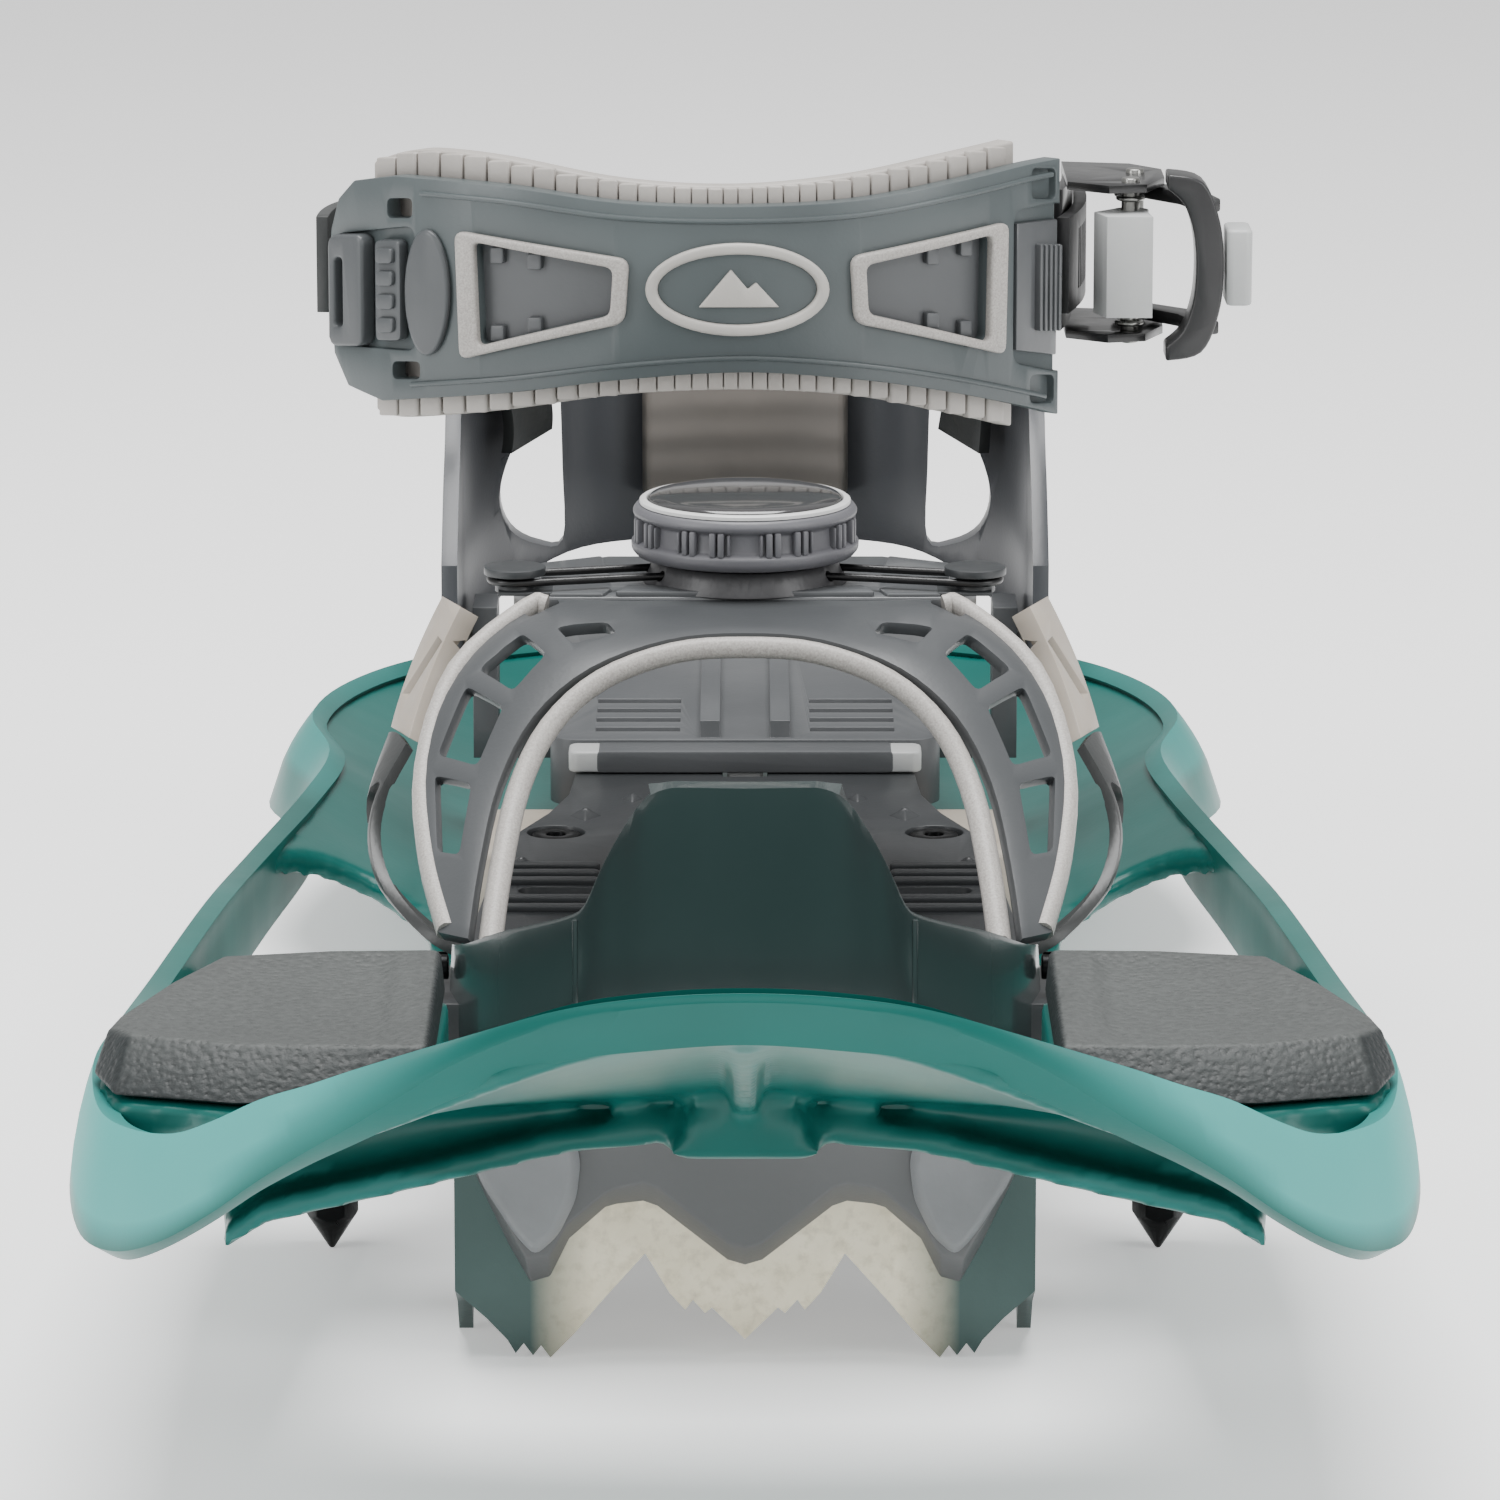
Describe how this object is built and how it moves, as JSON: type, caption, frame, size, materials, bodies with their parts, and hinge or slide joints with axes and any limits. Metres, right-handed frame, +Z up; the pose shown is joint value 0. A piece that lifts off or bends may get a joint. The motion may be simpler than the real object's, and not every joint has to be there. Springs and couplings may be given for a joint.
{
  "type": "snowshoe with boot binding",
  "caption": "moulded snowshoe with steel toe crampon, studs and a tilting boot binding with dial-laced hood, sliding heel and ratchet ankle cuff",
  "frame": {"origin": "on the ground under the middle of the snowshoe's bounding box", "axes": "+X to the wearer's right, +Y from tip to tail, +Z up"},
  "size_m": [0.2154, 0.59, 0.1826],
  "materials": {
    "deck_frame": "satin moulded polymer",
    "shock_pad_left": "fine leather grain",
    "shock_pad_right": "fine leather grain",
    "heel_rest_left": "matt",
    "heel_rest_right": "matt",
    "studs": "blackened",
    "stud_screws": "zinc",
    "pivot_axle": "ground",
    "axle_clip": "blackened",
    "axle_washers": "natural",
    "front_plate": "satin",
    "plate_screws": "blackened",
    "toe_guard": "polished",
    "crampon_cover": "satin",
    "claw_covers": "fine texture",
    "front_crampon": "mill finish",
    "crampon_rivets": "plain",
    "toe_hood": "satin",
    "hood_trim_inner": "satin",
    "hood_trims_outer": "satin",
    "instep_plate": "satin",
    "lace_guides": "satin",
    "laces": "coated steel lace",
    "dial_base": "satin",
    "dial_spool": "plain",
    "dial_knob": "satin",
    "dial_ring": "satin",
    "dial_cap": "polished",
    "side_links": "translucent satin",
    "side_straps": "satin",
    "hood_rivets": "blackened",
    "heel_plate": "satin",
    "length_latch": "satin",
    "highback_pins": "plain",
    "highback_shell": "satin",
    "heel_pad": "satin",
    "anchor_strap_right": "satin",
    "anchor_strap_left": "satin",
    "cuff_shell": "satin",
    "cuff_liner": "satin",
    "cuff_badge": "satin",
    "window_plates": "satin",
    "window_trims": "satin",
    "cuff_hook": "satin",
    "cuff_link": "satin",
    "hinge_bracket": "satin",
    "cuff_hinge_pin": "plain",
    "ladder_strap": "satin",
    "ratchet_frame": "black",
    "ratchet_pins": "plain",
    "ratchet_lever": "satin",
    "lever_tip": "satin",
    "ratchet_pawl": "satin",
    "ratchet_springs": "plain"
  },
  "bodies": {
    "deck": {"deck_frame": "deck_frame", "shock_pad_left": "shock_pad_left", "shock_pad_right": "shock_pad_right", "heel_rest_left": "heel_rest_left", "heel_rest_right": "heel_rest_right", "studs": "studs", "stud_screws": "stud_screws", "pivot_axle": "pivot_axle", "axle_clip": "axle_clip", "axle_washers": "axle_washers"},
    "binding": {"front_plate": "front_plate", "plate_screws": "plate_screws", "toe_guard": "toe_guard", "crampon_cover": "crampon_cover", "claw_covers": "claw_covers", "front_crampon": "front_crampon", "crampon_rivets": "crampon_rivets", "toe_hood": "toe_hood", "hood_trim_inner": "hood_trim_inner", "hood_trims_outer": "hood_trims_outer", "instep_plate": "instep_plate", "lace_guides": "lace_guides", "laces": "laces", "dial_base": "dial_base", "side_links": "side_links", "side_straps": "side_straps", "hood_rivets": "hood_rivets"},
    "spool": {"dial_spool": "dial_spool"},
    "knob": {"dial_knob": "dial_knob", "dial_ring": "dial_ring", "dial_cap": "dial_cap"},
    "heel": {"heel_plate": "heel_plate", "highback_pins": "highback_pins"},
    "latch": {"length_latch": "length_latch"},
    "highback": {"highback_shell": "highback_shell", "heel_pad": "heel_pad", "anchor_strap_right": "anchor_strap_right", "anchor_strap_left": "anchor_strap_left", "hinge_bracket": "hinge_bracket", "cuff_hinge_pin": "cuff_hinge_pin", "ratchet_frame": "ratchet_frame", "ratchet_pins": "ratchet_pins", "ratchet_springs": "ratchet_springs"},
    "cuff": {"cuff_shell": "cuff_shell", "cuff_liner": "cuff_liner", "cuff_badge": "cuff_badge", "window_plates": "window_plates", "window_trims": "window_trims", "cuff_hook": "cuff_hook", "cuff_link": "cuff_link", "ladder_strap": "ladder_strap"},
    "lever": {"ratchet_lever": "ratchet_lever", "lever_tip": "lever_tip"},
    "pawl": {"ratchet_pawl": "ratchet_pawl"}
  },
  "joints": [
    {"name": "binding_pivot", "type": "hinge", "parent": "deck", "child": "binding", "pos_m": [0, -0.095, 0.04], "axis": [1, 0, 0], "range_deg": [0, 40]},
    {"name": "heel_slide", "type": "slide", "parent": "binding", "child": "heel", "axis": [0, 1, 0], "range_m": [0, 0.03]},
    {"name": "latch_lift", "type": "slide", "parent": "heel", "child": "latch", "axis": [0, 0, 1], "range_m": [0, 0.002], "stiffness_N_per_m": 400, "springref_m": -0.002},
    {"name": "highback_lean", "type": "hinge", "parent": "heel", "child": "highback", "pos_m": [0, 0.135, 0.072], "axis": [-1, 0, 0], "range_deg": [0, 10]},
    {"name": "dial_turn", "type": "hinge", "parent": "binding", "child": "spool", "pos_m": [0, -0.005, 0.115], "axis": [0, 0, 1], "continuous": true},
    {"name": "dial_pull", "type": "slide", "parent": "spool", "child": "knob", "axis": [0, 0, 1], "range_m": [0, 0.0025]},
    {"name": "cuff_open", "type": "hinge", "parent": "highback", "child": "cuff", "pos_m": [-0.064, 0.118, 0.1575], "axis": [0, 0, -1], "range_deg": [0, 35]},
    {"name": "lever_open", "type": "hinge", "parent": "highback", "child": "lever", "pos_m": [0.0775, 0.103, 0.1575], "axis": [0, 0, 1], "range_deg": [0, 60]},
    {"name": "pawl_release", "type": "hinge", "parent": "highback", "child": "pawl", "pos_m": [0.076, 0.09, 0.1575], "axis": [0, 0, 1], "range_deg": [0, 10], "stiffness_Nm_per_rad": 0.2, "springref_deg": -11.46}
  ]
}
